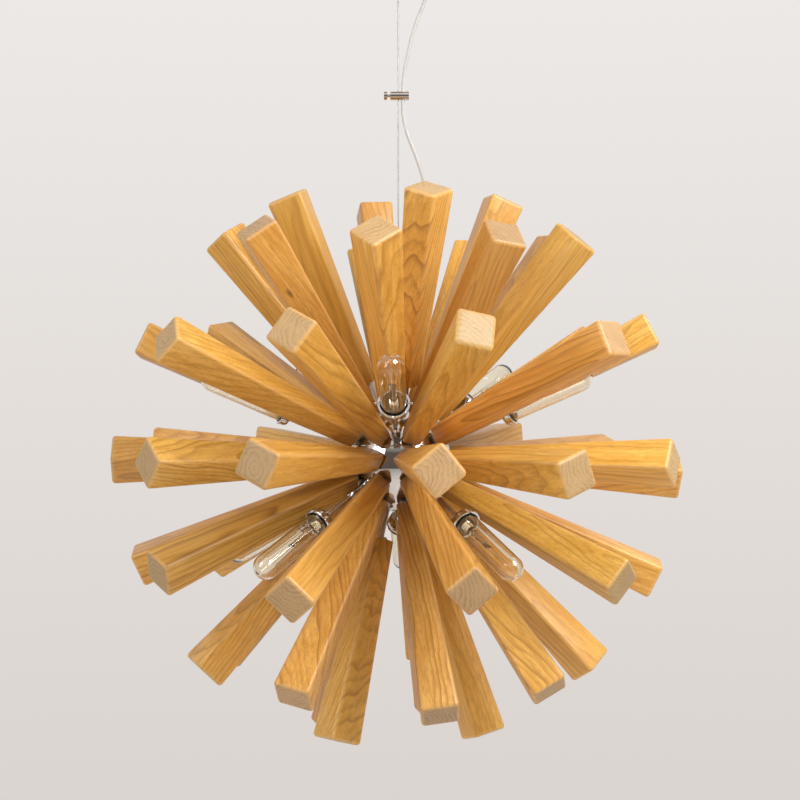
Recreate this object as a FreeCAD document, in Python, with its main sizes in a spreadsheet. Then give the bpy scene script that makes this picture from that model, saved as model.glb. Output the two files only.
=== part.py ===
import FreeCAD, Part
import math
import os
import re
import Sketcher

# Orb chandelier: tapered wooden bars and tubular lamps standing out of a chrome ball,
# hung from a ceiling canopy on one steel wire. Millimetres, +Z up, ceiling at Z = 0.

V = FreeCAD.Vector

SIZES = [
    ("hub_drop", 550),            # ceiling to the middle of the hub
    ("hub_radius", 56),
    ("hub_wall", 4),
    ("hub_split", 12.5),          # height of the joint between the two shells
    ("hub_lip_height", 3),
    ("hub_lip_wall", 1.8),
    ("bar_tip", 300),             # hub middle to the outer end of each bar
    ("bar_lift", 5),              # ball to the inner end of the bars
    ("polar_lift", 32),           # the same, on the four top and four bottom bars
    ("bar_tip_side", 37.5),
    ("bar_start_side", 20),
    ("bar_edge_round", 3.6),
    ("bar_end_round", 2.2),
    ("stud_radius", 3),
    ("stud_depth", 30),           # length of stud inside the wood
    ("stud_tail", 3),             # length of stud inside the hub
    ("stud_flange_radius", 6.5),
    ("stud_flange_height", 2.5),
    ("sleeve_radius", 4.6),
    ("sleeve_reach", 18),         # sleeve outside the ball
    ("sleeve_tail", 2),
    ("sleeve_flange_side", 1.6),
    ("sleeve_flange_height", 3),
    ("rod_inset", 12),            # rod inside the sleeve
    ("rod_reach", 51),            # end of the sleeve to the floor of the cup
    ("rod_radius", 2.75),
    ("rod_bore_radius", 1.7),
    ("collar_height", 7),
    ("collar_radius", 6.2),
    ("collar_bevel", 1),
    ("collar_neck_height", 2),
    ("collar_neck_side", 1.4),
    ("cup_plate", 2),
    ("cup_depth", 10),
    ("cup_wall", 1.2),
    ("cup_corner", 4),
    ("cup_inner_corner", 3),
    ("cup_gap", 1.2),             # glass to cup wall
    ("cup_bead_radius", 0.75),
    ("cup_screw_radius", 1.2),
    ("cup_screw_ball", 1.7),
    ("holder_radius", 9.5),
    ("holder_height", 4),
    ("glass_radius", 13),
    ("glass_wall", 1),
    ("glass_length", 96),
    ("glass_tip_radius", 1.8),
    ("glass_tip_height", 2.5),
    ("glass_tip_sink", 1),
    ("base_height", 6),
    ("pin_radius", 0.6),
    ("pin_length", 3.5),
    ("pin_pitch", 9),
    ("stem_radius", 4.4),
    ("stem_neck_radius", 2.4),
    ("stem_flare", 3),
    ("stem_flare_height", 6),
    ("stem_length", 37),          # foot of the glass to the pinch
    ("pinch_height", 9),
    ("pinch_width", 8),
    ("pinch_thickness", 2.6),
    ("filament_reach", 78),       # foot of the glass to the end of the filament
    ("filament_radius", 0.5),
    ("filament_side", 1.5),
    ("support_radius", 0.35),
    ("support_side", 2),
    ("foot_lift", 2),
    ("tie_rod_radius", 3),
    ("tie_rod_reach", 6),         # tie rod beyond the ball, top and bottom
    ("anchor_radius", 5),
    ("anchor_flange_radius", 7.5),
    ("anchor_flange_height", 3),
    ("anchor_height", 24),
    ("anchor_taper", 4),
    ("anchor_tip_wall", 1.2),
    ("cap_nut_radius", 6.5),
    ("cap_nut_height", 9),
    ("cap_nut_bevel", 3),
    ("wiring_block_radius", 19),
    ("wiring_block_height", 14),
    ("bushing_offset", 13.6),     # wire to cord entry on top of the hub
    ("bushing_turn", 58),         # degrees from +X to the cord entry
    ("bushing_radius", 4.6),
    ("bushing_neck_radius", 3.4),
    ("bushing_height", 14),
    ("bushing_depth", 8),
    ("bushing_flange_height", 3),
    ("bushing_tip_wall", 1),
    ("drill_margin", 4),
    ("cord_drill_margin", 10),
    ("wire_radius", 0.75),
    ("wire_seat", 1),             # tie rod to the end of the wire
    ("cord_radius", 2),
    ("cord_side", 30),            # wire to the cord's hole in the canopy
    ("clamp_height", 385),        # hub middle to the middle of the clamp
    ("clamp_radius", 4.7),
    ("clamp_left", 8.3),
    ("clamp_right", 11.3),
    ("clamp_cord_side", 4.7),
    ("clamp_screw_radius", 1.6),
    ("clamp_neck", 3.5),
    ("clamp_head_radius", 4.5),
    ("clamp_head_height", 3.2),
    ("canopy_radius", 60),
    ("canopy_height", 38),
    ("canopy_wall", 1.4),
    ("canopy_edge", 4),
    ("gripper_radius", 6.5),
    ("gripper_height", 16),
    ("gripper_stud_radius", 4),
    ("gripper_stud_height", 10),
    ("gripper_pocket", 10),
    ("gripper_bevel", 1),
    ("nipple_radius", 3.5),
    ("nipple_out", 5),
    ("nipple_in", 6),
    ("nipple_bevel", 0.8),
    ("spring_wall", 1.1),
    ("wire_way_radius", 1.6),     # bore that the wire swings in
    ("wire_top", 4),              # wire above the swing point
    ("gripper_nut_radius", 7),
    ("gripper_nut_height", 5),
    ("gland_top_radius", 6.5),
    ("gland_end_radius", 3.6),
    ("gland_height", 16),
    ("gland_shoulder", 3),
    ("gland_tail", 3),
    ("bracket_width", 20),
    ("bracket_plate", 2),
    ("bracket_ear", 15),
    ("bracket_ear_plate", 4),
    ("bracket_hole_side", 35),    # ceiling screws, to each side of the middle
    ("bracket_hole_radius", 2.5),
    ("canopy_screw_radius", 2),
    ("canopy_screw_drop", 8),
    ("canopy_screw_head", 4.5),
    ("canopy_screw_cap", 5),
    ("terminal_length", 34),
    ("terminal_width", 18),
    ("terminal_height", 14),
    ("running_gap", 0.05),
    ("loose_gap", 0.3),
]

# Rings of bars, from top to bottom: count, bearing of the first bar (0 is the front,
# positive to the right), height angle, then each bar's own lean in bearing, lean in
# height and roll about its length, because the orb is set up by hand. Degrees.
RINGS = {
    "top_bars": (4, 14, 67, [0, 0, 0, 5], [-2, 0, 1, -1], [43, 0, 85, 60]),
    "upper_bars": (9, -8, 51, [2, -1, 0, 0, 0, 0, -3, -1, 0],
                   [-3, -3, -1, 0, 1, -0.5, 0, 1, 0],
                   [46, 78, 60, 5, 8, 72, 10, 50, 64]),
    "shoulder_bars": (10, 16, 25, [-1, -3, 0, 0, 0, -2, 0, 0, 1, -1],
                      [0, -1, 2, 0, 2, 0, 2, 0, -1, 0],
                      [77, 0, 84, 30, 60, 45, 80, 7, 43, 62]),
    "equator_bars": (12, 5, 0, [2, -2, 0, -3, 0, -2, 0, -3, 0, 0, 2, 0],
                     [0, -1, 0, -3.5, 0, 3, 0, 2, 2, 0, 0.5, 1],
                     [39, 21, 54, 31, 20, 87, 45, 7, 11, 49, 48, 64]),
    "belly_bars": (10, 15, -24, [-1, -0.5, 2, 2, 0, 0, 0, 1, 1, 0],
                   [2.5, 2, -1, -1, 0, 0, 0, 1.5, 3.5, 0.5],
                   [45, 54, 10, 70, 45, 45, 45, 75, 63, 40]),
    "lower_bars": (9, 10, -50, [3, -2, -1, 0, 2, 0, 1, -4, 0],
                   [-3, 2, 3, 0, 0, 0, 3.5, 4, 2],
                   [13, 48, 50, 45, 81, 20, 20, 75, 71]),
    "bottom_bars": (4, 65, -71, [0, 0, 4, -18], [0, 0, -4, -1], [43, 45, 45, 10]),
}
POLAR_RINGS = ("top_bars", "bottom_bars")

# Rings of lamps: count, bearing of the first, height angle, leans in bearing and height.
LAMP_RINGS = {
    "upper_lamps": (5, -2, 25, [0, 0, 0, 0, -1], [1, -2, 0, 0, -2]),
    "lower_lamps": (5, 34, -28, [1, 1, 0, 0, -5], [0, 0, -7, -1, 0]),
}

# The power cord from the canopy's gland to the hub's bushing: X, Y and height above the
# middle of the hub, as laid out for the gland, clamp and bushing at these heights. It leans
# on the clamp on the wire and bellies out on both sides of it.
ROUTE_TOP = 496
ROUTE_CLAMP = 385
ROUTE_FOOT = 70
CORD_ROUTE = [
    (30, 0, 496), (28, 0, 483), (20.5, 0, 467), (14.5, 0, 447), (9.5, 0, 426),
    (5.2, 0, 404), (4.6, 0, 368), (8.2, 0, 348), (15, 0.5, 331), (21.5, 1.5, 314),
    (27.5, 3, 295), (30.5, 5, 272), (28.5, 7, 247), (22.5, 9, 219), (15.5, 10.5, 190),
    (10, 11.5, 160), (8, 12.2, 129), (7.3, 11.6, 102), (7.2, 11.5, 85), (7.2, 11.5, 70),
]

doc = FreeCAD.newDocument("orb_chandelier")
sheet = doc.addObject("Spreadsheet::Sheet", "sizes")
for row, (alias, value) in enumerate(SIZES, start=1):
    sheet.set("A%d" % row, alias.replace("_", " "))
    sheet.set("B%d" % row, str(value))
    sheet.setAlias("B%d" % row, alias)
doc.recompute()

NAMES = {alias for alias, _ in SIZES}
PARTS = []


def size(expression):
    """The value of an expression of sheet aliases, in millimetres or degrees."""
    values = {alias: float(sheet.get(alias)) for alias in words(expression)}
    for alias, value in values.items():
        expression = re.sub(r"\b%s\b" % alias, repr(value), expression)
    return float(FreeCAD.Units.Quantity(expression).Value)


def words(expression):
    return [word for word in re.findall(r"[a-z]+(?:_[a-z]+)+", expression) if word in NAMES]


def bound(expression):
    """The same expression with each alias read from the sheet."""
    for word in sorted(set(words(expression)), key=len, reverse=True):
        expression = re.sub(r"(?<![\w.])%s\b" % word, "sizes." + word, expression)
    return expression


def bind(thing, **expressions):
    for name, expression in expressions.items():
        thing.setExpression(name.replace("__", "."), bound(expression))
    return thing


def keep(thing, label, placement=None):
    """Names a finished sub-part, which is written to a file of that name."""
    thing.Label = label
    if placement is not None:
        thing.Placement = placement
    PARTS.append(thing)
    return thing


def cylinder(name, radius, height, base="0", side="0", depth="0"):
    thing = doc.addObject("Part::Cylinder", name)
    bind(thing, Radius=radius, Height=height)
    bind(thing, Placement__Base__z=base, Placement__Base__x=side, Placement__Base__y=depth)
    return thing


def across(name, radius, length, start, height):
    """A cylinder along X that starts at the given X."""
    thing = doc.addObject("Part::Cylinder", name)
    thing.Placement = FreeCAD.Placement(V(0, 0, 0), FreeCAD.Rotation(V(0, 1, 0), 90))
    bind(thing, Radius=radius, Height=length)
    bind(thing, Placement__Base__x=start, Placement__Base__z=height)
    return thing


def box(name, length, width, height, base="0", side="0"):
    """A box centred on the Z axis, or beside it along X."""
    thing = doc.addObject("Part::Box", name)
    bind(thing, Length=length, Width=width, Height=height)
    bind(thing, Placement__Base__x="%s - (%s) / 2" % (side, length))
    bind(thing, Placement__Base__y="-(%s) / 2" % width)
    bind(thing, Placement__Base__z=base)
    return thing


def sphere(name, radius, base="0", side="0"):
    thing = doc.addObject("Part::Sphere", name)
    bind(thing, Radius=radius, Placement__Base__z=base, Placement__Base__x=side)
    return thing


def cut(name, base, tools):
    for count, tool in enumerate(tools):
        step = doc.addObject("Part::Cut", "%s_%d" % (name, count))
        step.Base = base
        step.Tool = tool
        base = step
    return base


def fuse(name, shapes):
    thing = doc.addObject("Part::MultiFuse", name)
    thing.Shapes = shapes
    thing.Refine = True
    return thing


def plane_of(body, role):
    return next(item for item in body.Origin.OriginFeatures if item.Role == role)


def turned(name, profile):
    """A lathe-turned body: its sketch has one corner for each (radius, height) pair."""
    body = doc.addObject("PartDesign::Body", name)
    sketch = body.newObject("Sketcher::SketchObject", name + "_profile")
    sketch.AttachmentSupport = [(plane_of(body, "XZ_Plane"), "")]
    sketch.MapMode = "FlatFace"
    corners = [V(size(radius), size(height), 0) for radius, height in profile]
    for start, end in zip(corners, corners[1:] + corners[:1]):
        sketch.addGeometry(Part.LineSegment(start, end), False)
    count = len(profile)
    for index in range(count):
        following = (index + 1) % count
        sketch.addConstraint(Sketcher.Constraint("Coincident", index, 2, following, 1))
    for index, (radius, height) in enumerate(profile):
        if radius == "0":
            sketch.addConstraint(Sketcher.Constraint("PointOnObject", index, 1, -2))
        else:
            number = sketch.addConstraint(
                Sketcher.Constraint("DistanceX", -1, 1, index, 1, corners[index].x))
            sketch.setExpression("Constraints[%d]" % number, bound(radius))
        if height == "0":
            sketch.addConstraint(Sketcher.Constraint("PointOnObject", index, 1, -1))
        else:
            number = sketch.addConstraint(
                Sketcher.Constraint("DistanceY", -1, 1, index, 1, corners[index].y))
            sketch.setExpression("Constraints[%d]" % number, bound(height))
    spin = body.newObject("PartDesign::Revolution", name + "_turn")
    spin.Profile = sketch
    spin.ReferenceAxis = (sketch, ["V_Axis"])
    spin.Angle = 360
    return body


def square_sketch(name, side, height):
    """A level square about the Z axis at the given height."""
    sketch = doc.addObject("Sketcher::SketchObject", name)
    bind(sketch, Placement__Base__z=height)
    half = size(side) / 2
    corners = [V(-half, -half, 0), V(half, -half, 0), V(half, half, 0), V(-half, half, 0)]
    for start, end in zip(corners, corners[1:] + corners[:1]):
        sketch.addGeometry(Part.LineSegment(start, end), False)
    for index in range(4):
        sketch.addConstraint(Sketcher.Constraint("Coincident", index, 2, (index + 1) % 4, 1))
    for index, kind in enumerate(("Horizontal", "Vertical", "Horizontal", "Vertical")):
        sketch.addConstraint(Sketcher.Constraint(kind, index))
    sketch.addConstraint(Sketcher.Constraint("Symmetric", 0, 1, 2, 1, -1, 1))
    for kind, index in (("DistanceX", 0), ("DistanceY", 1)):
        number = sketch.addConstraint(Sketcher.Constraint(kind, index, 1, index, 2, 2 * half))
        sketch.setExpression("Constraints[%d]" % number, bound(side))
    return sketch


LEAST_RISE = 1


def wooden_bar(name, start, start_side):
    """One tapered bar on the Z axis, its edges rounded, its inner end drilled for the stud."""
    loft = doc.addObject("Part::Loft", name + "_taper")
    loft.Sections = [square_sketch(name + "_inner", start_side, start),
                     square_sketch(name + "_outer", "bar_tip_side", "bar_tip")]
    loft.Solid = True
    loft.Ruled = True
    doc.recompute()
    rounds = []
    for number, edge in enumerate(loft.Shape.Edges, start=1):
        heights = [vertex.Point.z for vertex in edge.Vertexes]
        if max(heights) - min(heights) > LEAST_RISE:
            rounds.append((number, size("bar_edge_round"), size("bar_edge_round")))
        elif min(heights) > size("bar_tip") - LEAST_RISE:
            rounds.append((number, size("bar_end_round"), size("bar_end_round")))
    rounded = doc.addObject("Part::Fillet", name + "_rounds")
    rounded.Base = loft
    rounded.Edges = rounds
    drill = cylinder(name + "_drill", "stud_radius + running_gap", "stud_depth + loose_gap", start)
    return cut(name + "_drilled", rounded, [drill])


def bearing(azimuth, height, roll=0):
    """Turns the Z axis to a bearing and a height angle, after a roll about itself."""
    return (FreeCAD.Rotation(V(0, 0, 1), azimuth)
            * FreeCAD.Rotation(V(1, 0, 0), 90 - height)
            * FreeCAD.Rotation(V(0, 0, 1), roll))


def ring_directions(ring):
    count, first, height, side_leans, height_leans, rolls = ring
    return [bearing(first + index * 360 / count + side_leans[index],
                    height + height_leans[index], rolls[index])
            for index in range(count)]


def lamp_directions():
    found = []
    for count, first, height, side_leans, height_leans in LAMP_RINGS.values():
        for index in range(count):
            found.append(bearing(first + index * 360 / count + side_leans[index],
                                 height + height_leans[index]))
    return found


def hub_middle():
    return V(0, 0, -size("hub_drop"))


def copies(master, directions):
    """Copies of a piece that was made on the Z axis, turned about the middle of the hub."""
    shapes = []
    for direction in directions:
        shape = master.Shape.copy()
        shape.Placement = FreeCAD.Placement(V(0, 0, 0), direction).multiply(shape.Placement)
        shapes.append(shape)
    return shapes


def group(label, shapes):
    thing = doc.addObject("Part::Feature", label)
    solids = [solid for shape in shapes for solid in shape.Solids]
    thing.Shape = Part.makeCompound(solids)
    return keep(thing, label, FreeCAD.Placement(hub_middle(), FreeCAD.Rotation()))


def drop(expression):
    return FreeCAD.Placement(V(0, 0, size(expression)), FreeCAD.Rotation())


# Wooden bars and their studs

bar_start = "hub_radius + bar_lift"
polar_start = "hub_radius + polar_lift"
taper = "(bar_tip_side - bar_start_side) / (bar_tip - hub_radius - bar_lift)"
polar_side = "bar_start_side + %s * (polar_lift - bar_lift)" % taper
bar = wooden_bar("bar", bar_start, "bar_start_side")
polar_bar = wooden_bar("polar_bar", polar_start, polar_side)


def stud(name, start):
    """A stud screwed into the hub and the wood, with a flange that the bar seats on."""
    return turned(name, [
        ("0", "hub_radius - hub_wall - stud_tail"),
        ("stud_radius", "hub_radius - hub_wall - stud_tail"),
        ("stud_radius", "%s - stud_flange_height" % start),
        ("stud_flange_radius", "%s - stud_flange_height" % start),
        ("stud_flange_radius", start),
        ("stud_radius", start),
        ("stud_radius", "%s + stud_depth" % start),
        ("0", "%s + stud_depth" % start),
    ])


bar_stud = stud("bar_stud", bar_start)
polar_stud = stud("polar_stud", polar_start)

# Lamps, made on the Z axis with the middle of the hub at Z = 0

sleeve_end = "hub_radius + sleeve_reach"
cup_floor = "hub_radius + sleeve_reach + rod_reach"
cup_bore = "glass_radius + cup_gap"
cup_outside = "glass_radius + cup_gap + cup_wall"
cup_inside = cup_floor + " + cup_plate"
cup_top = cup_floor + " + cup_depth"
bulb_seat = cup_inside + " + holder_height"
glass_bore = "glass_radius - glass_wall"
glass_end = bulb_seat + " + glass_length"
stem_end = bulb_seat + " + stem_length"
filament_end = bulb_seat + " + filament_reach"
dome_middle = glass_end + " - glass_radius"

sleeve = turned("sleeve", [
    ("rod_radius + running_gap", "hub_radius - hub_wall - sleeve_tail"),
    ("sleeve_radius", "hub_radius - hub_wall - sleeve_tail"),
    ("sleeve_radius", "hub_radius + loose_gap"),
    ("sleeve_radius + sleeve_flange_side", "hub_radius + loose_gap"),
    ("sleeve_radius + sleeve_flange_side", "hub_radius + loose_gap + sleeve_flange_height"),
    ("sleeve_radius", "hub_radius + loose_gap + sleeve_flange_height"),
    ("sleeve_radius", sleeve_end),
    ("rod_radius + running_gap", sleeve_end),
])
collar = turned("collar", [
    ("rod_radius + running_gap", sleeve_end),
    ("collar_radius - collar_bevel", sleeve_end),
    ("collar_radius", "%s + collar_bevel" % sleeve_end),
    ("collar_radius", "%s + collar_height - collar_neck_height" % sleeve_end),
    ("rod_radius + collar_neck_side", "%s + collar_height" % sleeve_end),
    ("rod_radius + running_gap", "%s + collar_height" % sleeve_end),
])
rod = turned("rod", [
    ("rod_bore_radius", "%s - rod_inset" % sleeve_end),
    ("rod_radius", "%s - rod_inset" % sleeve_end),
    ("rod_radius", cup_inside),
    ("rod_bore_radius", cup_inside),
])
cup_turned = turned("cup_turned", [
    ("rod_radius + running_gap", cup_floor),
    ("%s - cup_corner" % cup_outside, cup_floor),
    ("%s - 0.3 * cup_corner" % cup_outside, "%s + 0.3 * cup_corner" % cup_floor),
    (cup_outside, "%s + cup_corner" % cup_floor),
    (cup_outside, "%s - 2 * cup_bead_radius" % cup_top),
    ("%s + cup_bead_radius" % cup_outside, "%s - 2 * cup_bead_radius" % cup_top),
    ("%s + 1.6 * cup_bead_radius" % cup_outside, "%s - 1.5 * cup_bead_radius" % cup_top),
    ("%s + 1.6 * cup_bead_radius" % cup_outside, "%s - 0.5 * cup_bead_radius" % cup_top),
    ("%s + cup_bead_radius" % cup_outside, cup_top),
    (cup_bore, cup_top),
    (cup_bore, "%s + cup_inner_corner" % cup_inside),
    ("%s - cup_inner_corner" % cup_bore, cup_inside),
    ("rod_radius + running_gap", cup_inside),
])
screw_level = "%s - cup_bead_radius" % cup_top
screw_way = across("screw_way", "cup_screw_radius + running_gap", "3 * (%s)" % cup_outside,
                   "-1.5 * (%s)" % cup_outside, screw_level)
cup = cut("cup", cup_turned, [screw_way])
ball_side = "%s + 1.6 * cup_bead_radius + cup_screw_ball + loose_gap / 3" % cup_outside
screw_shank = across("screw_shank", "cup_screw_radius",
                     "%s - glass_radius - loose_gap" % ball_side,
                     "glass_radius + loose_gap", screw_level)
screw_ball = sphere("screw_ball", "cup_screw_ball", screw_level, ball_side)
cup_screw = fuse("cup_screw", [screw_shank, screw_ball])
pin_way_left = cylinder("pin_way_left", "pin_radius + loose_gap", "2 * holder_height",
                        cup_inside, "-pin_pitch / 2")
pin_way_right = cylinder("pin_way_right", "pin_radius + loose_gap", "2 * holder_height",
                         cup_inside, "pin_pitch / 2")
holder_disc = cylinder("holder_disc", "holder_radius", "holder_height", cup_inside)
holder = cut("holder", holder_disc, [pin_way_left, pin_way_right])

glass_wall_tube = cylinder("glass_wall_tube", "glass_radius",
                           "%s - (%s)" % (dome_middle, bulb_seat), bulb_seat)
glass_dome = sphere("glass_dome", "glass_radius", dome_middle)
glass_tip = cylinder("glass_tip", "glass_tip_radius", "glass_tip_height",
                     "%s - glass_tip_sink" % glass_end)
glass_outside = fuse("glass_outside", [glass_wall_tube, glass_dome, glass_tip])
glass_bore_tube = cylinder("glass_bore_tube", glass_bore,
                           "%s - (%s) + glass_wall" % (dome_middle, bulb_seat),
                           "%s - glass_wall" % bulb_seat)
glass_bore_dome = sphere("glass_bore_dome", glass_bore, dome_middle)
glass_inside = fuse("glass_inside", [glass_bore_tube, glass_bore_dome])
envelope = cut("envelope", glass_outside, [glass_inside])

base_disc = cylinder("base_disc", "%s - running_gap" % glass_bore, "base_height", bulb_seat)
pin_left = cylinder("pin_left", "pin_radius", "pin_length + base_height / 2",
                    "%s - pin_length" % bulb_seat, "-pin_pitch / 2")
pin_right = cylinder("pin_right", "pin_radius", "pin_length + base_height / 2",
                     "%s - pin_length" % bulb_seat, "pin_pitch / 2")
base = fuse("base", [base_disc, pin_left, pin_right])
stem_foot = "%s + base_height" % bulb_seat
stem_turned = turned("stem_turned", [
    ("0", stem_foot),
    ("stem_radius + stem_flare", stem_foot),
    ("stem_radius", "%s + stem_flare_height" % stem_foot),
    ("stem_neck_radius", stem_end),
    ("0", stem_end),
])
pinch = box("pinch", "pinch_width", "pinch_thickness", "2 * pinch_height",
            "%s - pinch_height" % stem_end)
stem = fuse("stem", [stem_turned, pinch])
pinch_top = stem_end + " + pinch_height"
filament_foot = pinch_top + " + foot_lift"
filament_line = cylinder("filament_line", "filament_radius",
                         "%s - (%s)" % (filament_end, filament_foot), filament_foot,
                         "-filament_side")
support = cylinder("support", "support_radius", "%s - (%s)" % (filament_end, pinch_top),
                   pinch_top, "support_side")
top_bridge = across("top_bridge", "support_radius",
                    "filament_side + support_side + support_radius",
                    "-filament_side - support_radius / 2", filament_end)
foot_bridge = across("foot_bridge", "support_radius",
                     "support_side - filament_side + support_radius",
                     "-support_side - support_radius / 2", filament_foot)
foot_post = cylinder("foot_post", "support_radius", "foot_lift + support_radius / 2", pinch_top,
                     "-support_side")
filament = fuse("filament", [filament_line, support, top_bridge, foot_bridge, foot_post])

# Hub, tie rod and fittings, with the middle of the hub at Z = 0

hub_bore = "hub_radius - hub_wall"
ball_outside = sphere("ball_outside", "hub_radius")
ball_inside = sphere("ball_inside", hub_bore)
ball = cut("ball", ball_outside, [ball_inside])
upper_half = cylinder("upper_half", "hub_radius + hub_wall", "2 * hub_radius", "hub_split")
lower_half = cylinder("lower_half", "hub_radius + hub_wall", "2 * hub_radius",
                      "hub_split - 2 * hub_radius")
upper_ball = doc.addObject("Part::Common", "upper_ball")
upper_ball.Base = ball
upper_ball.Tool = upper_half
lower_ball = doc.addObject("Part::Common", "lower_ball")
lower_ball.Base = ball
lower_ball.Tool = lower_half
lip_radius = "hub_radius - hub_wall / 2"
lip_seat = cylinder("lip_seat", "%s + running_gap" % lip_radius, "hub_lip_height + running_gap",
                    "hub_split")
lip_ring = cut("lip_ring",
               cylinder("lip_outside", lip_radius, "hub_lip_height + hub_lip_wall",
                        "hub_split - hub_lip_wall"),
               [cylinder("lip_inside", "%s - hub_lip_wall" % lip_radius,
                         "hub_lip_height + 3 * hub_lip_wall", "hub_split - 2 * hub_lip_wall")])
lower_lipped = fuse("lower_lipped", [lower_ball, lip_ring])
upper_seated = cut("upper_seated", upper_ball, [lip_seat])
doc.recompute()

bushing_turned = turned("bushing_turned", [
    ("cord_radius + loose_gap", "hub_radius - bushing_depth"),
    ("bushing_neck_radius", "hub_radius - bushing_depth"),
    ("bushing_neck_radius", "hub_radius"),
    ("bushing_radius", "hub_radius"),
    ("bushing_radius", "hub_radius + bushing_flange_height"),
    ("cord_radius + bushing_tip_wall", "hub_radius + bushing_height"),
    ("cord_radius + loose_gap", "hub_radius + bushing_height"),
])

bar_drill = cylinder("bar_drill", "stud_radius + running_gap", "hub_wall + 2 * drill_margin",
                     "%s - drill_margin" % hub_bore)
lamp_drill = cylinder("lamp_drill", "sleeve_radius + running_gap", "hub_wall + 2 * drill_margin",
                      "%s - drill_margin" % hub_bore)
rod_drill = cylinder("rod_drill", "tie_rod_radius + running_gap", "3 * hub_radius",
                     "-1.5 * hub_radius")
cord_drill = cylinder("cord_drill", "bushing_neck_radius + running_gap",
                      "hub_wall + 2 * cord_drill_margin", "%s - cord_drill_margin" % hub_bore)
doc.recompute()
bar_ways = [way for ring in RINGS.values() for way in copies(bar_drill, ring_directions(ring))]
cord_way = cord_drill.Shape.copy()
bushing_place = V(size("bushing_offset") * math.cos(math.radians(size("bushing_turn"))),
                  size("bushing_offset") * math.sin(math.radians(size("bushing_turn"))), 0)
cord_way.translate(bushing_place)
hub_ways = bar_ways + copies(lamp_drill, lamp_directions()) + [rod_drill.Shape, cord_way]
group("hub_upper_shell", [upper_seated.Shape.cut(hub_ways)])
group("hub_lower_shell", [lower_lipped.Shape.cut(hub_ways)])

for label, ring in RINGS.items():
    blank = polar_bar if label in POLAR_RINGS else bar
    group(label, copies(blank, ring_directions(ring)))
near_rings = [ring for label, ring in RINGS.items() if label not in POLAR_RINGS]
group("bar_studs", [shape for ring in near_rings
                    for shape in copies(bar_stud, ring_directions(ring))])
group("polar_studs", [shape for label in POLAR_RINGS
                      for shape in copies(polar_stud, ring_directions(RINGS[label]))])

lamps = lamp_directions()
for label, master in (("lamp_sleeves", sleeve), ("lamp_collars", collar), ("lamp_rods", rod),
                      ("lamp_cups", cup), ("lamp_holders", holder)):
    group(label, copies(master, lamps))
half_turn = FreeCAD.Rotation(V(0, 0, 1), 180)
group("cup_screws", copies(cup_screw, lamps)
      + copies(cup_screw, [way * half_turn for way in lamps]))
for number, direction in enumerate(lamps, start=1):
    group("bulb_envelope_%d" % number, copies(envelope, [direction]))
    group("bulb_mount_%d" % number,
          [shape for piece in (base, stem, filament) for shape in copies(piece, [direction])])

keep(turned("hub_tie_rod", [
    ("0", "-hub_radius - tie_rod_reach"),
    ("tie_rod_radius", "-hub_radius - tie_rod_reach"),
    ("tie_rod_radius", "hub_radius + tie_rod_reach"),
    ("0", "hub_radius + tie_rod_reach"),
]), "hub_tie_rod", drop("-hub_drop"))
keep(turned("wire_anchor", [
    ("tie_rod_radius + running_gap", "hub_radius + loose_gap"),
    ("anchor_flange_radius", "hub_radius + loose_gap"),
    ("anchor_flange_radius", "hub_radius + loose_gap + anchor_flange_height"),
    ("anchor_radius", "hub_radius + loose_gap + anchor_flange_height"),
    ("anchor_radius", "hub_radius + anchor_height - anchor_taper"),
    ("wire_radius + anchor_tip_wall", "hub_radius + anchor_height"),
    ("wire_radius + running_gap", "hub_radius + anchor_height"),
    ("wire_radius + running_gap", "hub_radius + tie_rod_reach + loose_gap"),
    ("tie_rod_radius + running_gap", "hub_radius + tie_rod_reach + loose_gap"),
]), "wire_anchor", drop("-hub_drop"))
keep(turned("hub_cap_nut", [
    ("0", "-hub_radius - cap_nut_height"),
    ("cap_nut_radius - cap_nut_bevel", "-hub_radius - cap_nut_height"),
    ("cap_nut_radius", "-hub_radius - cap_nut_height + cap_nut_bevel"),
    ("cap_nut_radius", "-hub_radius - loose_gap"),
    ("tie_rod_radius + running_gap", "-hub_radius - loose_gap"),
    ("tie_rod_radius + running_gap", "-hub_radius - tie_rod_reach - loose_gap"),
    ("0", "-hub_radius - tie_rod_reach - loose_gap"),
]), "hub_cap_nut", drop("-hub_drop"))
keep(turned("lamp_wiring_block", [
    ("tie_rod_radius + running_gap", "-wiring_block_height / 2"),
    ("wiring_block_radius", "-wiring_block_height / 2"),
    ("wiring_block_radius", "wiring_block_height / 2"),
    ("tie_rod_radius + running_gap", "wiring_block_height / 2"),
]), "lamp_wiring_block", drop("-hub_drop"))
keep(bushing_turned, "hub_cord_bushing",
     FreeCAD.Placement(hub_middle() + bushing_place, FreeCAD.Rotation()))

# Wire and power cord

swing_level = "-canopy_height - gripper_height"
wire_foot = "hub_radius + tie_rod_reach + wire_seat - hub_drop"
keep(cylinder("wire", "wire_radius", "%s + wire_top - (%s)" % (swing_level, wire_foot),
              wire_foot), "suspension_wire")


ARC_SHARE = 0.45                  # how much of the shorter run each arc takes


def corner_arcs(points):
    """Straight runs joined by tangent arcs, each as large as its two runs allow."""
    edges = []
    radii = []
    at = points[0]
    for before, corner, after in zip(points, points[1:], points[2:]):
        into = (corner - before).normalize()
        out = (after - corner).normalize()
        turn = into.getAngle(out)
        reach = ARC_SHARE * min((corner - before).Length, (after - corner).Length)
        radius = reach / math.tan(turn / 2)
        start = corner - into * reach
        end = corner + out * reach
        inward = (out - into).normalize()
        middle = corner + inward * (radius / math.cos(turn / 2) - radius)
        edges.append(Part.LineSegment(at, start).toShape())
        edges.append(Part.Arc(start, middle, end).toShape())
        radii.append(radius)
        at = end
    edges.append(Part.LineSegment(at, points[-1]).toShape())
    return Part.Wire(edges), radii


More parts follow.
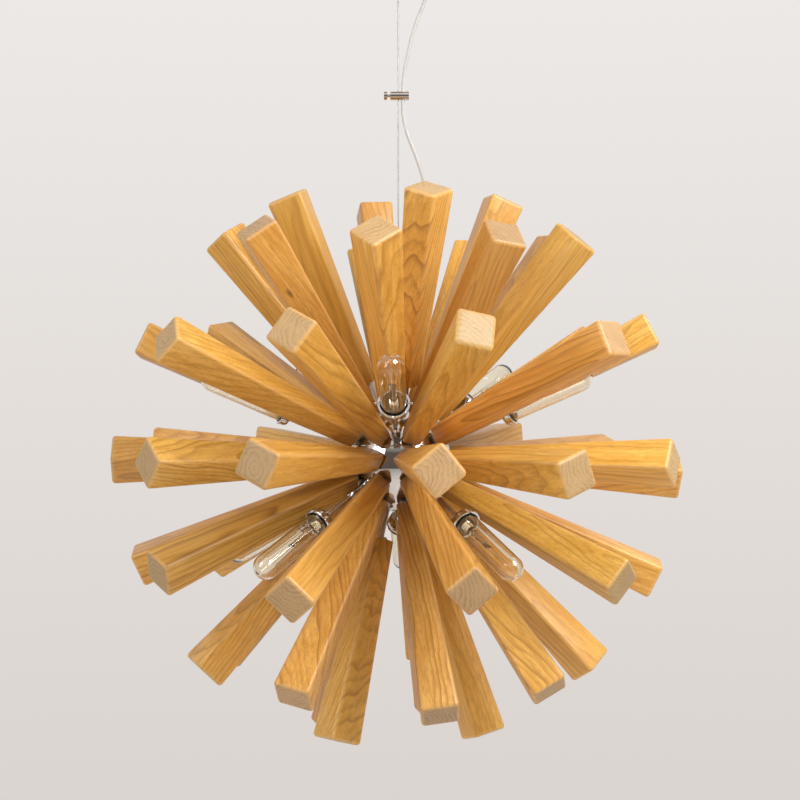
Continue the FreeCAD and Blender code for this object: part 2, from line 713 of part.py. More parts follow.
def route_level(height):
    """A height of the laid-out route, moved with the gland, the clamp and the bushing."""
    clamp = size("clamp_height")
    if height > ROUTE_CLAMP:
        gland_level = size("hub_drop - canopy_height - gland_height")
        share = (height - ROUTE_CLAMP) / (ROUTE_TOP - ROUTE_CLAMP)
        return clamp + share * (gland_level - clamp)
    foot = size("hub_radius + bushing_height")
    share = (height - ROUTE_FOOT) / (ROUTE_CLAMP - ROUTE_FOOT)
    return foot + share * (clamp - foot)


cord_points = [V(x, y, route_level(height) - size("hub_drop")) for x, y, height in CORD_ROUTE]
cord_line, cord_radii = corner_arcs(cord_points)
cord_end = Part.Wire(Part.makeCircle(size("cord_radius"), cord_points[0],
                                     cord_points[1] - cord_points[0]))
cord = doc.addObject("Part::Feature", "power_cord")
cord.Shape = cord_line.makePipeShell([cord_end], True, True)
keep(cord, "power_cord")
print("cord length %.0f mm, radii %s" % (cord_line.Length, [round(r) for r in cord_radii]))
print("cord volume over section times length %.4f" % (
    cord.Shape.Volume / (math.pi * size("cord_radius") ** 2 * cord_line.Length)))

# Clamp that holds the cord to the wire

clamp_level = "clamp_height - hub_drop"
clamp_body = across("clamp_body", "clamp_radius", "clamp_left + clamp_right", "-clamp_left",
                    clamp_level)
wire_way = cylinder("clamp_wire_way", "wire_radius + running_gap", "3 * clamp_radius",
                    "%s - 1.5 * clamp_radius" % clamp_level)
cord_hole = cylinder("clamp_cord_way", "cord_radius + loose_gap", "3 * clamp_radius",
                     "%s - 1.5 * clamp_radius" % clamp_level, "clamp_cord_side")
screw_hole = across("clamp_screw_way", "clamp_screw_radius + running_gap", "2 * clamp_left",
                    "-2 * clamp_left", clamp_level)
keep(cut("clamp", clamp_body, [wire_way, cord_hole, screw_hole]), "cord_clamp")
clamp_shank = across("clamp_shank", "clamp_screw_radius",
                     "clamp_left + clamp_neck - wire_radius - loose_gap",
                     "-clamp_left - clamp_neck", clamp_level)
clamp_head = across("clamp_head", "clamp_head_radius", "clamp_head_height",
                    "-clamp_left - clamp_neck - clamp_head_height", clamp_level)
keep(fuse("clamp_thumb_screw", [clamp_shank, clamp_head]), "clamp_thumb_screw")

# Canopy and what is in it

canopy_shell = turned("canopy_shell", [
    ("gripper_stud_radius + loose_gap", "0"),
    ("canopy_radius - canopy_edge", "0"),
    ("canopy_radius - canopy_edge / 3", "canopy_edge / 3"),
    ("canopy_radius", "canopy_edge"),
    ("canopy_radius", "canopy_height"),
    ("canopy_radius - canopy_wall", "canopy_height"),
    ("canopy_radius - canopy_wall", "canopy_edge + canopy_wall / 2"),
    ("canopy_radius - canopy_edge - canopy_wall / 2", "canopy_wall"),
    ("gripper_stud_radius + loose_gap", "canopy_wall"),
])
canopy_shell.Placement = drop("-canopy_height")
side_ways = across("side_ways", "canopy_screw_radius + running_gap", "3 * canopy_radius",
                   "-1.5 * canopy_radius", "-canopy_screw_drop")
gland_way = cylinder("gland_way", "gland_end_radius + running_gap", "3 * canopy_wall",
                     "-canopy_height - canopy_wall", "cord_side")
keep(cut("canopy_cover", canopy_shell, [side_ways, gland_way]), "canopy")

inner_radius = "canopy_radius - canopy_wall - 2 * loose_gap"
strap_ends = cylinder("strap_ends", inner_radius, "bracket_ear", "-bracket_ear")
ears = box("ears", "2 * (%s)" % inner_radius, "bracket_width", "bracket_ear", "-bracket_ear")
ear_room = box("ear_room", "2 * (%s - bracket_ear_plate)" % inner_radius, "2 * bracket_width",
               "bracket_ear", "-bracket_ear - bracket_plate")
bracket_round = doc.addObject("Part::Common", "bracket_round")
bracket_round.Base = ears
bracket_round.Tool = strap_ends
bracket_holes = [cylinder("ceiling_hole_%d" % number, "bracket_hole_radius", "3 * bracket_plate",
                          "-2 * bracket_plate", side)
                 for number, side in enumerate(("-bracket_hole_side", "bracket_hole_side"))]
ear_ways = across("ear_ways", "canopy_screw_radius + running_gap", "2 * canopy_radius",
                  "-canopy_radius", "-canopy_screw_drop")
keep(cut("bracket", bracket_round, [ear_room] + bracket_holes + [ear_ways]), "ceiling_bracket")

screw_start = inner_radius + " - bracket_ear_plate"
canopy_shank = across("canopy_shank", "canopy_screw_radius",
                      "canopy_radius + loose_gap - (%s)" % screw_start, screw_start,
                      "-canopy_screw_drop")
canopy_cap = across("canopy_cap", "canopy_screw_head", "canopy_screw_cap",
                    "canopy_radius + loose_gap", "-canopy_screw_drop")
canopy_screw = fuse("canopy_screw", [canopy_shank, canopy_cap])
doc.recompute()
left_screw = canopy_screw.Shape.copy()
left_screw.rotate(V(0, 0, 0), V(0, 0, 1), 180)
screws = doc.addObject("Part::Feature", "canopy_screws")
screws.Shape = Part.makeCompound([canopy_screw.Shape.Solids[0], left_screw.Solids[0]])
keep(screws, "canopy_screws")

terminal = box("terminal", "terminal_length", "terminal_width", "terminal_height",
               "-bracket_plate - terminal_height")
keep(terminal, "terminal_block")

keep(turned("wire_gripper", [
    ("nipple_radius + running_gap", "0"),
    ("gripper_radius - gripper_bevel", "0"),
    ("gripper_radius", "gripper_bevel"),
    ("gripper_radius", "gripper_height"),
    ("gripper_stud_radius", "gripper_height"),
    ("gripper_stud_radius", "gripper_height + gripper_stud_height"),
    ("wire_way_radius", "gripper_height + gripper_stud_height"),
    ("wire_way_radius", "gripper_pocket"),
    ("nipple_radius + running_gap", "gripper_pocket"),
]), "wire_gripper", drop(swing_level))
keep(turned("gripper_nut", [
    ("gripper_stud_radius + running_gap", "gripper_height + canopy_wall"),
    ("gripper_nut_radius", "gripper_height + canopy_wall"),
    ("gripper_nut_radius", "gripper_height + canopy_wall + gripper_nut_height"),
    ("gripper_stud_radius + running_gap", "gripper_height + canopy_wall + gripper_nut_height"),
]), "gripper_nut", drop(swing_level))
nipple_turned = turned("gripper_nipple", [
    ("wire_way_radius", "0"),
    ("nipple_radius - nipple_bevel", "0"),
    ("nipple_radius", "nipple_bevel"),
    ("nipple_radius", "nipple_out + nipple_in"),
    ("wire_way_radius", "nipple_out + nipple_in"),
])
keep(nipple_turned, "gripper_nipple", drop("%s - nipple_out" % swing_level))
spring_outside = "nipple_radius - loose_gap"
keep(turned("gripper_spring", [
    ("%s - spring_wall" % spring_outside, "nipple_in"),
    (spring_outside, "nipple_in"),
    (spring_outside, "gripper_pocket"),
    ("%s - spring_wall" % spring_outside, "gripper_pocket"),
]), "gripper_spring", drop(swing_level))
gland = turned("cord_gland", [
    ("cord_radius + loose_gap", "0"),
    ("gland_end_radius", "0"),
    ("gland_top_radius", "gland_height - gland_shoulder"),
    ("gland_top_radius", "gland_height"),
    ("gland_end_radius", "gland_height"),
    ("gland_end_radius", "gland_height + canopy_wall + gland_tail"),
    ("cord_radius + loose_gap", "gland_height + canopy_wall + gland_tail"),
])
gland_level = size("-canopy_height - gland_height")
keep(gland, "cord_gland", FreeCAD.Placement(V(size("cord_side"), 0, gland_level),
                                            FreeCAD.Rotation()))

doc.recompute()
for thing in doc.Objects:
    if "Invalid" in thing.State or "Error" in thing.State:
        raise RuntimeError("%s failed: %s" % (thing.Label, thing.State))
for part in PARTS:
    if part.Shape.isNull() or not part.Shape.isValid():
        raise RuntimeError("%s has no valid shape" % part.Label)

os.makedirs("parts", exist_ok=True)
for part in PARTS:
    part.Shape.exportStep("parts/%s.step" % part.Label)
print("%d sub-parts, %d solids" % (len(PARTS), sum(len(part.Shape.Solids) for part in PARTS)))
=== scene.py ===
import bpy
import math
import random
from mathutils import Matrix, Vector


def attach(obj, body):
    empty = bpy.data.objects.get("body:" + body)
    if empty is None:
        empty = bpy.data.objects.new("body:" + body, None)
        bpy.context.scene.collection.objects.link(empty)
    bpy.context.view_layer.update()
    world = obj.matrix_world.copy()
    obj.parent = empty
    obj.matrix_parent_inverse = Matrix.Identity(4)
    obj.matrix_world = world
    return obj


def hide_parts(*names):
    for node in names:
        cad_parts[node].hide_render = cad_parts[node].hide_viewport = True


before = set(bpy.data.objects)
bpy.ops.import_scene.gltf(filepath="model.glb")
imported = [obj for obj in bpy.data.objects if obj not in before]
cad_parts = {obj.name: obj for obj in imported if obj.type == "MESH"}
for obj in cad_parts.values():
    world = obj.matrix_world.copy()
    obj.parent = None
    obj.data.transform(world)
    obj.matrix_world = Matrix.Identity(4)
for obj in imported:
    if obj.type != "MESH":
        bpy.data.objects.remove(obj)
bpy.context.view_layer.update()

# Sizes in metres, as in the CAD source but for the bars' softer edges
HUB = Vector((0, 0, -0.550))
BAR_TIP = 0.300
BAR_START = 0.061
POLAR_START = 0.088
TIP_SIDE = 0.0375
START_SIDE = 0.020
EDGE_ROUND = 0.0040
END_ROUND = 0.0040
STUD_BORE = 0.00305
STUD_DEPTH = 0.031
GLASS_RADIUS = 0.013
GLASS_WALL = 0.001
GLASS_DROP = 0.0012
GLASS_END = 0.227
GLASS_TIP_RADIUS = 0.0018
BULB_SEAT = 0.131
PIN_LENGTH = 0.0035
STEM_END = 0.168
PINCH_HEIGHT = 0.009
FILAMENT_END = 0.209
CORD_RADIUS = 0.002

# Rings of bars: count, first bearing, height angle, then each bar's lean in bearing, lean
# in height and roll. Degrees.
RINGS = {
    "top_bars": (4, 14, 67, [0, 0, 0, 5],
                 [-2, 0, 1, -1],
                 [43, 0, 85, 60]),
    "upper_bars": (9, -8, 51, [2, -1, 0, 0, 0, 0, -3, -1, 0],
                   [-3, -3, -1, 0, 1, -0.5, 0, 1, 0],
                   [46, 78, 60, 5, 8, 72, 10, 50, 64]),
    "shoulder_bars": (10, 16, 25, [-1, -3, 0, 0, 0, -2, 0, 0, 1, -1],
                      [0, -1, 2, 0, 2, 0, 2, 0, -1, 0],
                      [77, 0, 84, 30, 60, 45, 80, 7, 43, 62]),
    "equator_bars": (12, 5, 0, [2, -2, 0, -3, 0, -2, 0, -3, 0, 0, 2, 0],
                     [0, -1, 0, -3.5, 0, 3, 0, 2, 2, 0, 0.5, 1],
                     [39, 21, 54, 31, 20, 87, 45, 7, 11, 49, 48, 64]),
    "belly_bars": (10, 15, -24, [-1, -0.5, 2, 2, 0, 0, 0, 1, 1, 0],
                   [2.5, 2, -1, -1, 0, 0, 0, 1.5, 3.5, 0.5],
                   [45, 54, 10, 70, 45, 45, 45, 75, 63, 40]),
    "lower_bars": (9, 10, -50, [3, -2, -1, 0, 2, 0, 1, -4, 0],
                   [-3, 2, 3, 0, 0, 0, 3.5, 4, 2],
                   [13, 48, 50, 45, 81, 20, 20, 75, 71]),
    "bottom_bars": (4, 65, -71, [0, 0, 4, -18],
                    [0, 0, -4, -1],
                    [43, 45, 45, 10]),
}
POLAR_RINGS = ("top_bars", "bottom_bars")

# Bars sawn well across the grain, which shows as arches: lean of the pith across each bar
ARCHED_BARS = {
    ("lower_bars", 8): (0.27, 0.20),
    ("bottom_bars", 3): (0.30, -0.22),
    ("top_bars", 0): (-0.20, 0.24),
    ("shoulder_bars", 8): (0.16, 0.18),
    ("equator_bars", 10): (-0.20, 0.14),
}

# Rings of lamps: count, first bearing, height angle, leans in bearing and height. Degrees.
LAMP_RINGS = [
    (5, -2, 25, [0, 0, 0, 0, -1], [1, -2, 0, 0, -2]),
    (5, 34, -28, [1, 1, 0, 0, -5], [0, 0, -7, -1, 0]),
]

# The cord's route, in millimetres from the middle of the hub
CORD_ROUTE = [
    (30, 0, 496), (28, 0, 483), (20.5, 0, 467), (14.5, 0, 447), (9.5, 0, 426),
    (5.2, 0, 404), (4.6, 0, 368), (8.2, 0, 348), (15, 0.5, 331), (21.5, 1.5, 314),
    (27.5, 3, 295), (30.5, 5, 272), (28.5, 7, 247), (22.5, 9, 219), (15.5, 10.5, 190),
    (10, 11.5, 160), (8, 12.2, 129), (7.3, 11.6, 102), (7.2, 11.5, 85), (7.2, 11.5, 70),
]


# The camera, level, at the photograph's place
SENSOR_WIDTH = 36
LENS = 73.8
CAMERA_PLACE = (0.0019, -1.740, -0.4877)

# Colours of the wood, from its lightest streaks to the darkest flecks
WOOD_PALE = (0.86, 0.490, 0.115)
WOOD_DEEP = (0.68, 0.343, 0.052)
WOOD_CLOUD = (0.73, 0.345, 0.045)
WOOD_RING = (0.32, 0.120, 0.011)
WOOD_PORE = (0.36, 0.15, 0.022)
WOOD_FLECK = (0.13, 0.05, 0.015)
# Pale edge colour: partly wear, partly a painted highlight where the rounded edges catch the light
WOOD_RUBBED_AND_HIGHLIGHT = (0.88, 0.60, 0.30)
END_DARK = (0.50, 0.310, 0.130)
END_PALE = (0.60, 0.390, 0.180)
END_RING = (0.29, 0.160, 0.058)
END_GREY = (0.44, 0.275, 0.135)
RINGS_PER_METRE = 190
END_RINGS_PER_METRE = 210

# Background as the camera sees it, from low to high, and what only lights or mirrors
PALE_LOW = (0.705, 0.655, 0.625)
PALE_MIDDLE = (0.775, 0.735, 0.705)
PALE_HIGH = (0.845, 0.815, 0.795)
ROOM_BEHIND = (0.15, 0.12, 0.10)
AMBIENT = (0.50, 0.485, 0.47)
FLOOR_LEVEL = -2.1
FLOOR_REACH = 4.4
FLOOR_GLOW = 0.16
KEY_POWER = 68
FILL_POWER = 17


def place_camera():
    data = bpy.data.cameras.new("photo_camera")
    data.sensor_width = SENSOR_WIDTH
    data.lens = LENS
    data.clip_end = 50
    camera = bpy.data.objects.new("photo_camera", data)
    camera.location = CAMERA_PLACE
    camera.rotation_euler = (math.radians(90), 0, 0)
    bpy.context.scene.collection.objects.link(camera)
    bpy.context.scene.camera = camera


# Node helpers

def node(tree, kind, inputs=None, **settings):
    made = tree.nodes.new(kind)
    for name, value in settings.items():
        setattr(made, name, value)
    for key, value in (inputs or {}).items():
        socket = made.inputs[key]
        if isinstance(value, bpy.types.NodeSocket):
            tree.links.new(value, socket)
        else:
            socket.default_value = value
    return made


def maths(tree, operation, first, second=0.0, clamp=False):
    return node(tree, "ShaderNodeMath", {0: first, 1: second}, operation=operation,
                use_clamp=clamp).outputs[0]


def vector_maths(tree, operation, first, second=(0, 0, 0)):
    made = node(tree, "ShaderNodeVectorMath", {0: first, 1: second}, operation=operation)
    return made.outputs["Value"] if operation in ("LENGTH", "DOT_PRODUCT") else made.outputs[0]


def noise(tree, where, scale, detail=3.0, roughness=0.5):
    return node(tree, "ShaderNodeTexNoise",
                {"Vector": where, "Scale": scale, "Detail": detail, "Roughness": roughness})


def ramp(tree, factor, stops):
    made = node(tree, "ShaderNodeValToRGB", {"Fac": factor})
    band = made.color_ramp
    while len(band.elements) < len(stops):
        band.elements.new(0.5)
    for element, (place, level) in zip(band.elements, stops):
        element.position = place
        element.color = (*level, 1) if isinstance(level, tuple) else (level, level, level, 1)
    return made.outputs["Color"]


def blend_colours(tree, factor, first, second):
    made = node(tree, "ShaderNodeMix", data_type="RGBA", blend_type="MIX")
    for index, value in ((0, factor), (6, first), (7, second)):
        if isinstance(value, bpy.types.NodeSocket):
            tree.links.new(value, made.inputs[index])
        elif isinstance(value, tuple):
            made.inputs[index].default_value = (*value, 1)
        else:
            made.inputs[index].default_value = value
    return made.outputs[2]


def spread(tree, factor, low, high):
    """A factor from 0 to 1 taken to a span of values."""
    return maths(tree, "ADD", maths(tree, "MULTIPLY", factor, high - low), low)


def new_material(name, **sockets):
    material = bpy.data.materials.new(name)
    material.use_nodes = True
    shader = material.node_tree.nodes["Principled BSDF"]
    for key, value in sockets.items():
        shader.inputs[key.replace("_", " ")].default_value = value
    return material, material.node_tree, shader


def bump(tree, shader, height, strength, distance):
    made = node(tree, "ShaderNodeBump",
                {"Height": height, "Strength": strength, "Distance": distance})
    tree.links.new(made.outputs["Normal"], shader.inputs["Normal"])


def attribute(tree, name, output):
    return node(tree, "ShaderNodeAttribute", attribute_name=name).outputs[output]


# Wood: growth rings about a pith beside each bar, stained honey, with sanded end grain

def wood_material():
    material, tree, shader = new_material("stained_wood", Coat_Weight=0.22, Coat_Roughness=0.3)
    place = attribute(tree, "bar_place", "Vector")
    traits = node(tree, "ShaderNodeSeparateXYZ", {0: attribute(tree, "bar_traits", "Vector")})
    tone, contrast, warmth = traits.outputs
    end_face = attribute(tree, "bar_end", "Fac")
    edge = attribute(tree, "bar_edge", "Fac")

    # Growth rings: wavy cylinders round the pith, unevenly dark
    slow = vector_maths(tree, "MULTIPLY", place, (30, 30, 7))
    drift = vector_maths(tree, "SUBTRACT", noise(tree, slow, 1, 2).outputs["Color"],
                         (0.5, 0.5, 0.5))
    drift = vector_maths(tree, "MULTIPLY", drift, (0.022, 0.022, 0))
    bent = vector_maths(tree, "ADD", place, drift)
    radius = vector_maths(tree, "LENGTH", vector_maths(tree, "MULTIPLY", bent, (1, 1, 0)))
    ripple = vector_maths(tree, "MULTIPLY", place, (110, 110, 9))
    uneven = maths(tree, "MULTIPLY", noise(tree, ripple, 1, 4).outputs["Fac"], 0.5)
    year = maths(tree, "ADD", maths(tree, "MULTIPLY", radius, RINGS_PER_METRE), uneven)
    season = maths(tree, "FRACT", year)
    late = ramp(tree, season, [(0, 0.25), (0.1, 0.0), (0.5, 0.12), (0.8, 0.7), (0.92, 1.0),
                               (1.0, 0.25)])
    whole = maths(tree, "FLOOR", year)
    strong = node(tree, "ShaderNodeTexWhiteNoise", {"W": whole},
                  noise_dimensions="1D").outputs["Value"]
    late = maths(tree, "MULTIPLY", late, spread(tree, strong, 0.15, 1.0))
    late = maths(tree, "MULTIPLY", late, contrast)

    fibre = noise(tree, vector_maths(tree, "MULTIPLY", place, (1300, 1300, 24)), 1,
                  4).outputs["Fac"]
    streak = noise(tree, vector_maths(tree, "MULTIPLY", place, (230, 230, 5)), 1, 4).outputs["Fac"]
    cloud = noise(tree, vector_maths(tree, "MULTIPLY", place, (34, 34, 14)), 1, 3).outputs["Fac"]
    streak = ramp(tree, streak, [(0.35, 0.0), (0.65, 1.0)])
    cloud = ramp(tree, cloud, [(0.36, 0.0), (0.64, 1.0)])

    colour = blend_colours(tree, streak, WOOD_PALE, WOOD_DEEP)
    colour = blend_colours(tree, maths(tree, "MULTIPLY", cloud, 0.6), colour, WOOD_CLOUD)
    colour = blend_colours(tree, maths(tree, "MULTIPLY", late, 0.92), colour, WOOD_RING)
    pores = ramp(tree, fibre, [(0.36, 1.0), (0.5, 0.0)])
    colour = blend_colours(tree, maths(tree, "MULTIPLY", pores, 0.42), colour, WOOD_PORE)
    spots = vector_maths(tree, "MULTIPLY", place, (30, 30, 11))
    fleck_spots = node(tree, "ShaderNodeTexVoronoi", {"Vector": spots, "Scale": 1.0})
    fleck = ramp(tree, fleck_spots.outputs["Distance"], [(0.03, 1.0), (0.085, 0.0)])
    picked = node(tree, "ShaderNodeSeparateXYZ", {0: fleck_spots.outputs["Color"]}).outputs[0]
    fleck = maths(tree, "MULTIPLY", fleck, maths(tree, "GREATER_THAN", picked, 0.8))
    colour = blend_colours(tree, maths(tree, "MULTIPLY", fleck, 0.75), colour, WOOD_FLECK)

    # End grain: curved growth rings and speckle, paler and greyer than the sides
    speckle = noise(tree, vector_maths(tree, "MULTIPLY", place, (900, 900, 900)), 1, 4)
    speckle = ramp(tree, speckle.outputs["Fac"], [(0.36, 0.0), (0.64, 1.0)])
    jitter = noise(tree, vector_maths(tree, "MULTIPLY", place, (170, 170, 1)), 1, 3).outputs["Fac"]
    close = maths(tree, "ADD", maths(tree, "MULTIPLY", radius, END_RINGS_PER_METRE),
                  maths(tree, "MULTIPLY", jitter, 1.1))
    line = ramp(tree, maths(tree, "FRACT", close), [(0, 0.3), (0.2, 0.0), (0.6, 0.4), (0.85, 1.0),
                                                    (1.0, 0.3)])
    band = ramp(tree, noise(tree, vector_maths(tree, "MULTIPLY", place, (60, 60, 1)), 1, 2)
                .outputs["Fac"], [(0.35, 0.25), (0.65, 1.0)])
    end_colour = blend_colours(tree, speckle, END_DARK, END_PALE)
    drawn = maths(tree, "MULTIPLY", maths(tree, "MULTIPLY", line, band), 0.75)
    end_colour = blend_colours(tree, drawn, end_colour, END_RING)
    end_colour = blend_colours(tree, maths(tree, "MULTIPLY", warmth, 0.3), end_colour, END_GREY)
    colour = blend_colours(tree, end_face, colour, end_colour)

    # Rounded edges lightened: partly wear, partly a painted highlight standing in for light caught
    # on the edges
    edge_wear_and_highlight = maths(tree, "POWER", edge, 2.0)
    rubbed_and_highlight = maths(tree, "MULTIPLY", edge_wear_and_highlight, spread(tree, streak, 0.08, 0.34))
    colour = blend_colours(tree, rubbed_and_highlight, colour, WOOD_RUBBED_AND_HIGHLIGHT)
    shade = node(tree, "ShaderNodeHueSaturation",
                 {"Hue": spread(tree, warmth, 0.495, 0.506), "Saturation": 1.0,
                  "Value": spread(tree, tone, 0.80, 1.08), "Color": colour})
    tree.links.new(shade.outputs["Color"], shader.inputs["Base Color"])
    rough = maths(tree, "ADD", spread(tree, fibre, 0.34, 0.5),
                  maths(tree, "MULTIPLY", end_face, 0.16))
    tree.links.new(rough, shader.inputs["Roughness"])
    relief = maths(tree, "SUBTRACT", maths(tree, "MULTIPLY", fibre, 0.6),
                   maths(tree, "MULTIPLY", late, 0.5))
    bump(tree, shader, relief, 0.3, 0.0003)
    return material


# Metals, glass and plastics

def metal_material(name, colour, rough, smudge=0.05, grain=0.0):
    """Bright metal with faint smudges, and a fine brushed or cast grain where asked."""
    material, tree, shader = new_material(name, Metallic=1.0)
    where = node(tree, "ShaderNodeTexCoord").outputs["Object"]
    marks = noise(tree, where, 55, 5, 0.65).outputs["Fac"]
    fine = noise(tree, where, 900, 3).outputs["Fac"]
    dull = tuple(channel * 0.86 for channel in colour)
    tint = blend_colours(tree, ramp(tree, marks, [(0.35, 0.0), (0.75, 1.0)]), colour, dull)
    tree.links.new(tint, shader.inputs["Base Color"])
    tree.links.new(spread(tree, marks, rough, rough + smudge), shader.inputs["Roughness"])
    bump(tree, shader, fine, 0.02 + grain, 0.0001)
    return material


def wire_material():
    """Fine strands laid in a helix round the wire, with painted shade in the grooves between them.
    """
    material, tree, shader = new_material("stranded_steel", Metallic=1.0, Roughness=0.32)
    where = node(tree, "ShaderNodeSeparateXYZ",
                 {0: node(tree, "ShaderNodeTexCoord").outputs["Object"]})
    angle = maths(tree, "ARCTAN2", where.outputs["Y"], where.outputs["X"])
    lay = maths(tree, "ADD", maths(tree, "MULTIPLY", angle, 6),
                maths(tree, "MULTIPLY", where.outputs["Z"], 2400))
    strand = maths(tree, "ABSOLUTE", maths(tree, "SINE", lay))
    # Darker between the strands: painted shade in the grooves
    colour = blend_colours(tree, strand, (0.16, 0.16, 0.16), (0.52, 0.52, 0.51))
    tree.links.new(colour, shader.inputs["Base Color"])
    bump(tree, shader, strand, 0.5, 0.0002)
    return material


def glass_material(name, colour, rough=0.0):
    material, tree, shader = new_material(name, Transmission_Weight=1.0, IOR=1.5,
                                          Specular_IOR_Level=0.8, Coat_Weight=0.6)
    where = node(tree, "ShaderNodeTexCoord").outputs["Object"]
    wave = noise(tree, where, 26, 2).outputs["Fac"]
    film = noise(tree, where, 90, 3).outputs["Fac"]
    tint = blend_colours(tree, wave, colour, tuple(0.97 * channel for channel in colour))
    tree.links.new(tint, shader.inputs["Base Color"])
    tree.links.new(spread(tree, film, rough, rough + 0.02), shader.inputs["Roughness"])
    bump(tree, shader, wave, 0.05, 0.001)
    return material


def plastic_material(name, colour, rough, clear=0.0):
    material, tree, shader = new_material(name, Transmission_Weight=clear, IOR=1.46)
    where = node(tree, "ShaderNodeTexCoord").outputs["Object"]
    cloud = noise(tree, where, 40, 3).outputs["Fac"]
    fine = noise(tree, where, 1400, 2).outputs["Fac"]
    shade = tuple(0.9 * channel for channel in colour)
    tree.links.new(blend_colours(tree, cloud, colour, shade), shader.inputs["Base Color"])
    tree.links.new(spread(tree, cloud, rough, rough + 0.1), shader.inputs["Roughness"])
    bump(tree, shader, fine, 0.05, 0.0002)
    return material


place_camera()
WOOD = wood_material()
HUB_CHROME = metal_material("hub_chrome_finish", (0.66, 0.64, 0.62), 0.04, 0.04)
LAMP_CHROME = metal_material("lamp_chrome_finish", (0.68, 0.67, 0.66), 0.05, 0.06)
FITTING_CHROME = metal_material("fitting_chrome_finish", (0.76, 0.76, 0.76), 0.08, 0.06)
PLATED = metal_material("plated_steel_finish", (0.60, 0.60, 0.58), 0.28, 0.12, 0.1)
BULB_BASE = metal_material("bulb_base_finish", (0.20, 0.165, 0.11), 0.35, 0.12)
LEAD_METAL = metal_material("lamp_lead_metal", (0.50, 0.46, 0.40), 0.25, 0.1)
FILAMENT = metal_material("filament_metal", (0.90, 0.82, 0.66), 0.30, 0.1)
WIRE = wire_material()
BULB_GLASS = glass_material("bulb_glass_clear", (0.99, 0.95, 0.84))
STEM_GLASS = glass_material("stem_glass", (0.93, 0.90, 0.84), 0.02)
CORD_PLASTIC = plastic_material("clear_cord_plastic", (0.80, 0.79, 0.77), 0.25, 0.45)
CLEAR_PLASTIC = plastic_material("clear_fitting_plastic", (0.85, 0.85, 0.84), 0.2, 0.6)
TERMINAL = plastic_material("terminal_plastic_finish", (0.75, 0.74, 0.70), 0.45)
HOLDER = plastic_material("dark_holder_finish", (0.075, 0.065, 0.055), 0.4)


# Pieces

def bearing(azimuth, height, roll=0.0):
    return (Matrix.Rotation(math.radians(azimuth), 3, "Z")
            @ Matrix.Rotation(math.radians(90 - height), 3, "X")
            @ Matrix.Rotation(math.radians(roll), 3, "Z"))


def ring_turns(ring):
    count, first, height, side_leans, height_leans, rolls = ring
    return [bearing(first + index * 360 / count + side_leans[index],
                    height + height_leans[index], rolls[index]) for index in range(count)]


def lamp_turns():
    found = []
    for count, first, height, side_leans, height_leans in LAMP_RINGS:
        for index in range(count):
            found.append(bearing(first + index * 360 / count + side_leans[index],
                                 height + height_leans[index]))
    return found


def make_piece(name, points, faces, materials, face_materials=None, smooth_angle=40):
    mesh = bpy.data.meshes.new(name)
    mesh.from_pydata(points, [], faces)
    for material in materials:
        mesh.materials.append(material)
    if face_materials:
        mesh.polygons.foreach_set("material_index", face_materials)
    mesh.shade_smooth()
    mesh.set_sharp_from_angle(angle=math.radians(smooth_angle))
    piece = bpy.data.objects.new(name, mesh)
    bpy.context.scene.collection.objects.link(piece)
    return piece


ARC_STEPS = 5


def rounded_square(half, radius):
    """Corners of a rounded square, and how far round each corner each point is."""
    points = []
    for corner in range(4):
        for step in range(ARC_STEPS + 1):
            angle = math.radians(90 * corner + 90 * step / ARC_STEPS)
            middle = math.radians(90 * corner + 45)
            reach = (half - radius) * math.sqrt(2)
            points.append((reach * math.cos(middle) + radius * math.cos(angle),
                           reach * math.sin(middle) + radius * math.sin(angle),
                           math.sin(math.pi * step / ARC_STEPS)))
    return points


def bar_template(start, edge_round):
    """Loops of (x, y, z, edge, end) from the drilled inner end to the outer end."""
    taper = (TIP_SIDE - START_SIDE) / (BAR_TIP - BAR_START)

    def half_at(distance):
        return (START_SIDE + taper * (distance - BAR_START)) / 2

    loops = []
    count = 4 * (ARC_STEPS + 1)
    circle = [math.radians(360 * (index + 0.5 - (ARC_STEPS + 1) / 2) / count + 45)
              for index in range(count)]
    for depth in (STUD_DEPTH, 0):
        loops.append([(STUD_BORE * math.cos(angle), STUD_BORE * math.sin(angle),
                       start + depth, 0, 0) for angle in circle])
    for inset, lift in ((0.0004, 0), (0, 0.0004)):
        loops.append([(x, y, start + lift, 0.4 * edge, 0)
                      for x, y, edge in rounded_square(half_at(start) - inset, edge_round)])
    stations = 7
    for step in range(1, stations):
        distance = start + (BAR_TIP - END_ROUND - start) * step / stations
        loops.append([(x, y, distance, edge, 0)
                      for x, y, edge in rounded_square(half_at(distance), edge_round)])
    for step in range(5):
        angle = math.radians(90 * step / 4)
        inset = END_ROUND * (1 - math.cos(angle))
        distance = BAR_TIP - END_ROUND * (1 - math.sin(angle))
        rim = math.sin(math.pi * step / 4)
        end = max(0.0, (step - 1) / 3)
        loops.append([(x, y, distance, max(edge * (1 - step / 4), rim), end)
                      for x, y, edge in rounded_square(half_at(distance) - inset,
                                                       max(edge_round - inset, 0.0006))])
    inner = [(x * 0.9, y * 0.9, z, 0, 1) for x, y, z, _, _ in loops[-1]]
    loops.append(inner)
    return loops


